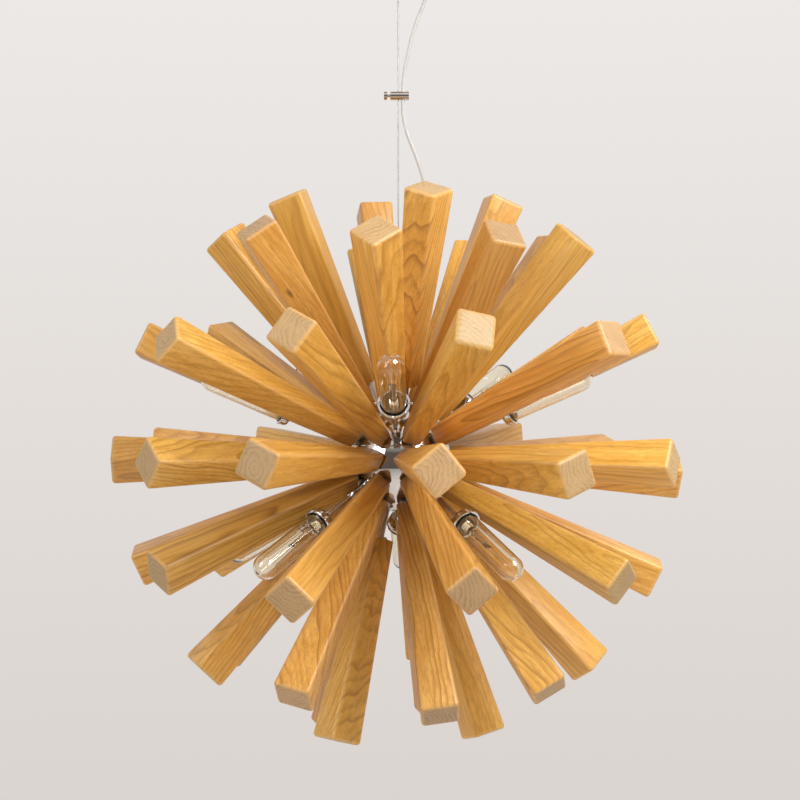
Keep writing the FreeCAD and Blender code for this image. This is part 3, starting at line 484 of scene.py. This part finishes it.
def make_bars(label, ring, seed):
    draw = random.Random(seed)
    points, faces, places, traits, ends, edges = [], [], [], [], [], []
    start = POLAR_START if label in POLAR_RINGS else BAR_START
    for number, turn in enumerate(ring_turns(ring)):
        loops = bar_template(start, EDGE_ROUND * draw.uniform(0.88, 1.1))
        pith_angle = draw.uniform(0, 2 * math.pi)
        pith_away = draw.uniform(0.008, 0.06)
        pith = (pith_away * math.cos(pith_angle), pith_away * math.sin(pith_angle))
        lean = (draw.uniform(-0.13, 0.13), draw.uniform(-0.13, 0.13))
        lean = ARCHED_BARS.get((label, number), lean)
        slide = draw.uniform(-40, 40)
        trait = (draw.random(), draw.uniform(0.4, 1.0), draw.random())
        base = len(points)
        count = len(loops[0])
        for loop in loops:
            for x, y, z, edge, end in loop:
                points.append(HUB + turn @ Vector((x, y, z)))
                places.extend((x + pith[0] + lean[0] * z, y + pith[1] + lean[1] * z, z + slide))
                traits.extend(trait)
                ends.append(end)
                edges.append(edge)
        for level in range(len(loops) - 1):
            for index in range(count):
                following = (index + 1) % count
                low = base + level * count
                faces.append((low + index, low + following,
                              low + count + following, low + count + index))
        faces.append([base + index for index in reversed(range(count))])
        faces.append([base + (len(loops) - 1) * count + index for index in range(count)])
    piece = make_piece(label + "_grained", points, faces, [WOOD], smooth_angle=50)
    for name, kind, values in (("bar_place", "FLOAT_VECTOR", places),
                               ("bar_traits", "FLOAT_VECTOR", traits),
                               ("bar_end", "FLOAT", ends), ("bar_edge", "FLOAT", edges)):
        layer = piece.data.attributes.new(name, kind, "POINT")
        layer.data.foreach_set("vector" if kind == "FLOAT_VECTOR" else "value", values)
    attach(piece, "pendant")
    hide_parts(label)


for number, (label, ring) in enumerate(RINGS.items()):
    make_bars(label, ring, 20 + number)


class Lathe:
    """Points and faces of round shapes on one axis, gathered for one piece."""

    def __init__(self, turn, segments=48):
        self.turn = turn
        self.segments = segments
        self.points = []
        self.faces = []
        self.slots = []

    def spin(self, profile, slot=0, side=(0, 0), closed=False):
        base = len(self.points)
        count = self.segments
        for radius, height in profile:
            for index in range(count):
                angle = 2 * math.pi * index / count
                local = Vector((side[0] + radius * math.cos(angle),
                                side[1] + radius * math.sin(angle), height))
                self.points.append(HUB + self.turn @ local)
        levels = len(profile)
        for level in range(levels if closed else levels - 1):
            for index in range(count):
                following = (index + 1) % count
                low = base + level * count
                high = base + (level + 1) % levels * count
                self.faces.append((low + index, low + following, high + following, high + index))
                self.slots.append(slot)
        if not closed:
            self.faces.append([base + index for index in reversed(range(count))])
            self.faces.append([base + (levels - 1) * count + index for index in range(count)])
            self.slots.extend([slot, slot])

    def tube(self, route, radius, slot, sides=10):
        """A wire along points in the lamp's own frame."""
        base = len(self.points)
        route = [Vector(point) for point in route]
        for index, point in enumerate(route):
            before = route[max(index - 1, 0)]
            after = route[min(index + 1, len(route) - 1)]
            along = (after - before).normalized()
            first = along.cross(Vector((0, 1, 0.02))).normalized()
            second = along.cross(first)
            for step in range(sides):
                angle = 2 * math.pi * step / sides
                local = point + radius * (math.cos(angle) * first + math.sin(angle) * second)
                self.points.append(HUB + self.turn @ local)
        for level in range(len(route) - 1):
            for index in range(sides):
                following = (index + 1) % sides
                low = base + level * sides
                self.faces.append((low + following, low + index,
                                   low + sides + index, low + sides + following))
                self.slots.append(slot)
        last = base + (len(route) - 1) * sides
        self.faces.append([base + index for index in range(sides)])
        self.faces.append([last + index for index in reversed(range(sides))])
        self.slots.extend([slot, slot])


def arc(radius, height, bend, first, last, steps):
    """Profile points of an arc of radius bend round (radius, height), angles in degrees."""
    found = []
    for step in range(steps + 1):
        angle = math.radians(first + (last - first) * step / steps)
        found.append((radius + bend * math.cos(angle), height + bend * math.sin(angle)))
    return found


def make_glass(number, turn):
    """The tubular envelope: one wall of glass, open at its foot, with the exhaust tip."""
    lathe = Lathe(turn, 64)
    dome = GLASS_END - GLASS_RADIUS
    inside = GLASS_RADIUS - GLASS_WALL
    least = 0.00005
    outside = [(GLASS_RADIUS, BULB_SEAT)]
    outside += [(GLASS_RADIUS, BULB_SEAT + (dome - BULB_SEAT) * step / 6) for step in range(1, 6)]
    outside += arc(0, dome, GLASS_RADIUS, 0, 78, 14)
    tip = GLASS_TIP_RADIUS
    outside += [(tip * 1.15, GLASS_END + 0.0002), (tip * 0.9, GLASS_END + 0.0008),
                (tip * 0.62, GLASS_END + 0.0013), (least, GLASS_END + 0.00148)]
    inner = [(least, dome + inside - GLASS_DROP)]
    inner += arc(0, dome - GLASS_DROP, inside, 84, 0, 14)
    inner += [(inside, BULB_SEAT + (dome - BULB_SEAT) * step / 6) for step in range(5, -1, -1)]
    lathe.spin(outside + inner, closed=True)
    piece = make_piece("bulb_glass_%d" % number, lathe.points, lathe.faces, [BULB_GLASS],
                       smooth_angle=60)
    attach(piece, "bulb_%d" % number)
    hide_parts("bulb_envelope_%d" % number)


def make_mount(number, turn):
    """What stands in the bulb: base, flared stem with its pinch, leads and filament."""
    lathe = Lathe(turn, 40)
    foot = BULB_SEAT + 0.006
    bore = GLASS_RADIUS - GLASS_WALL - 0.00005
    seat = BULB_SEAT + 0.0001
    lathe.spin([(bore - 0.0006, seat), (bore, seat + 0.0006), (bore, foot - 0.0006),
                (bore - 0.0006, foot)], slot=1)
    for side in (-0.0045, 0.0045):
        lathe.spin([(0.0004, BULB_SEAT - PIN_LENGTH), (0.0006, BULB_SEAT - 0.9 * PIN_LENGTH),
                    (0.0006, seat + 0.0002)], slot=1, side=(side, 0))
    stem = [(0.0072, foot + 0.0002), (0.0062, foot + 0.0014), (0.0050, foot + 0.0032),
            (0.0042, foot + 0.0056), (0.0036, foot + 0.012), (0.0030, foot + 0.022),
            (0.0025, STEM_END - 0.003), (0.0024, STEM_END)]
    lathe.spin(stem, slot=0)
    pinch_top = STEM_END + PINCH_HEIGHT
    base = len(lathe.points)
    sections = [(0.0024, 0.0022, STEM_END - 0.0008), (0.0036, 0.0015, STEM_END + 0.0012),
                (0.0040, 0.0013, STEM_END + 0.0035), (0.0040, 0.0012, pinch_top - 0.0010),
                (0.0034, 0.0007, pinch_top)]
    around = 20
    for wide, thick, height in sections:
        for index in range(around):
            angle = 2 * math.pi * index / around
            squared = abs(math.cos(angle)) ** 0.6 * math.copysign(1, math.cos(angle))
            flat = abs(math.sin(angle)) ** 0.6 * math.copysign(1, math.sin(angle))
            lathe.points.append(HUB + turn @ Vector((wide * squared, thick * flat, height)))
    for level in range(len(sections) - 1):
        for index in range(around):
            following = (index + 1) % around
            low = base + level * around
            lathe.faces.append((low + index, low + following, low + around + following,
                                low + around + index))
            lathe.slots.append(0)
    lathe.faces.append([base + index for index in reversed(range(around))])
    lathe.faces.append([base + (len(sections) - 1) * around + index for index in range(around)])
    lathe.slots.extend([0, 0])
    left, right = -0.0018, 0.0022
    lathe.tube([(left * 0.9, 0, pinch_top - 0.0005), (left, 0, pinch_top + 0.0012),
                (left, 0, pinch_top + 0.0032)], 0.0003, 2)
    lathe.tube([(right * 0.9, 0, pinch_top - 0.0005), (right, 0, pinch_top + 0.002),
                (right, 0, pinch_top + 0.012), (right, 0, FILAMENT_END - 0.003),
                (right * 0.8, 0, FILAMENT_END - 0.0008), (0.0006, 0, FILAMENT_END),
                (-0.0008, 0, FILAMENT_END - 0.0004), (left + 0.0001, 0, FILAMENT_END - 0.0022)],
               0.00028, 2)
    lathe.tube([(left, 0, pinch_top + 0.003 + (FILAMENT_END - 0.0048 - pinch_top) * step / 8)
                for step in range(9)], 0.00052, 3)
    piece = make_piece("bulb_inside_%d" % number, lathe.points, lathe.faces,
                       [STEM_GLASS, BULB_BASE, LEAD_METAL, FILAMENT], lathe.slots)
    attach(piece, "bulb_%d" % number)
    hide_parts("bulb_mount_%d" % number)


for number, turn in enumerate(lamp_turns(), start=1):
    make_glass(number, turn)
    make_mount(number, turn)


# The clear power cord

def make_cord():
    data = bpy.data.curves.new("clear_power_cord", "CURVE")
    data.dimensions = "3D"
    data.bevel_depth = CORD_RADIUS
    data.bevel_resolution = 5
    data.resolution_u = 12
    data.use_fill_caps = True
    spline = data.splines.new("NURBS")
    spline.points.add(len(CORD_ROUTE) - 1)
    route = [HUB + Vector(point) / 1000 for point in CORD_ROUTE]
    for point, place in zip(spline.points, route):
        point.co = (*place, 1)
    spline.order_u = 3
    spline.use_endpoint_u = True
    data.materials.append(CORD_PLASTIC)
    piece = bpy.data.objects.new("clear_power_cord", data)
    bpy.context.scene.collection.objects.link(piece)
    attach(piece, "pendant")
    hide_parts("power_cord")


make_cord()

# Finishes of the CAD nodes that stay

FINISHES = {
    HUB_CHROME: ("hub_upper_shell", "hub_lower_shell"),
    LAMP_CHROME: ("lamp_sleeves", "lamp_collars", "lamp_rods", "lamp_cups", "cup_screws"),
    FITTING_CHROME: ("canopy", "canopy_screws", "wire_gripper", "gripper_nipple", "cord_clamp",
                     "clamp_thumb_screw", "wire_anchor", "hub_cap_nut"),
    PLATED: ("ceiling_bracket", "gripper_nut", "gripper_spring", "hub_tie_rod", "bar_studs",
             "polar_studs"),
    WIRE: ("suspension_wire",),
    CLEAR_PLASTIC: ("cord_gland", "hub_cord_bushing"),
    TERMINAL: ("terminal_block", "lamp_wiring_block"),
    HOLDER: ("lamp_holders",),
}
for finish, labels in FINISHES.items():
    for label in labels:
        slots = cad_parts[label].material_slots
        for entry in slots:
            entry.material = finish


# Floor, lamps and world

def make_stage():
    """A round floor, small enough to stay below the main view."""
    around = 96
    corners = [(FLOOR_REACH * math.cos(2 * math.pi * index / around),
                FLOOR_REACH * math.sin(2 * math.pi * index / around), FLOOR_LEVEL)
               for index in range(around)]
    material, tree, shader = new_material("pale_floor", Roughness=0.9)
    where = node(tree, "ShaderNodeTexCoord").outputs["Object"]
    mottle = noise(tree, where, 3, 3).outputs["Fac"]
    tree.links.new(blend_colours(tree, mottle, (0.94, 0.89, 0.85), (0.92, 0.87, 0.83)),
                   shader.inputs["Base Color"])
    shader.inputs["Emission Color"].default_value = (0.73, 0.69, 0.66, 1)
    seen = node(tree, "ShaderNodeLightPath").outputs["Is Camera Ray"]
    tree.links.new(maths(tree, "MULTIPLY", seen, FLOOR_GLOW), shader.inputs["Emission Strength"])
    floor = make_piece("studio_floor", corners, [list(range(around))], [material])


def area_lamp(name, place, target, width, power, colour):
    data = bpy.data.lights.new(name, "AREA")
    data.shape = "DISK"
    data.size = width
    data.energy = power
    data.color = colour
    lamp = bpy.data.objects.new(name, data)
    lamp.location = place
    aim = Vector(target) - Vector(place)
    lamp.rotation_euler = aim.to_track_quat("-Z", "Y").to_euler()
    bpy.context.scene.collection.objects.link(lamp)


def make_world():
    """Pale surroundings. What shines also mirrors the darker room behind the camera."""
    world = bpy.data.worlds.new("pale_room")
    world.use_nodes = True
    tree = world.node_tree
    tree.nodes.clear()
    direction = node(tree, "ShaderNodeTexCoord").outputs["Generated"]
    parts = node(tree, "ShaderNodeSeparateXYZ", {0: direction})
    rise = maths(tree, "ADD", maths(tree, "MULTIPLY", parts.outputs["Z"], 2.1), 0.5, clamp=True)
    seen = ramp(tree, rise, [(0.0, PALE_LOW), (0.5, PALE_MIDDLE), (1.0, PALE_HIGH)])
    behind = ramp(tree, maths(tree, "MULTIPLY", parts.outputs["Y"], -1.0),
                  [(0.05, 0.0), (0.55, 1.0)])
    low = ramp(tree, parts.outputs["Z"], [(0.25, 1.0), (0.6, 0.0)])
    room = blend_colours(tree, maths(tree, "MULTIPLY", behind, low), seen, ROOM_BEHIND)
    paths = node(tree, "ShaderNodeLightPath")
    glossy = paths.outputs["Is Glossy Ray"]
    clear = maths(tree, "MAXIMUM", paths.outputs["Is Camera Ray"],
                  paths.outputs["Is Transmission Ray"])
    colour = blend_colours(tree, glossy, AMBIENT, room)
    colour = blend_colours(tree, clear, colour, seen)
    background = node(tree, "ShaderNodeBackground", {"Color": colour, "Strength": 1.0})
    output = node(tree, "ShaderNodeOutputWorld")
    tree.links.new(background.outputs[0], output.inputs[0])
    bpy.context.scene.world = world


make_stage()
area_lamp("soft_key", (1.4, -1.4, 1.0), HUB, 1.5, KEY_POWER, (1.0, 0.985, 0.96))
area_lamp("soft_fill", (-1.6, -1.5, 0.1), HUB, 1.4, FILL_POWER, (1.0, 0.99, 0.98))
make_world()
bpy.context.scene.view_settings.view_transform = "Standard"
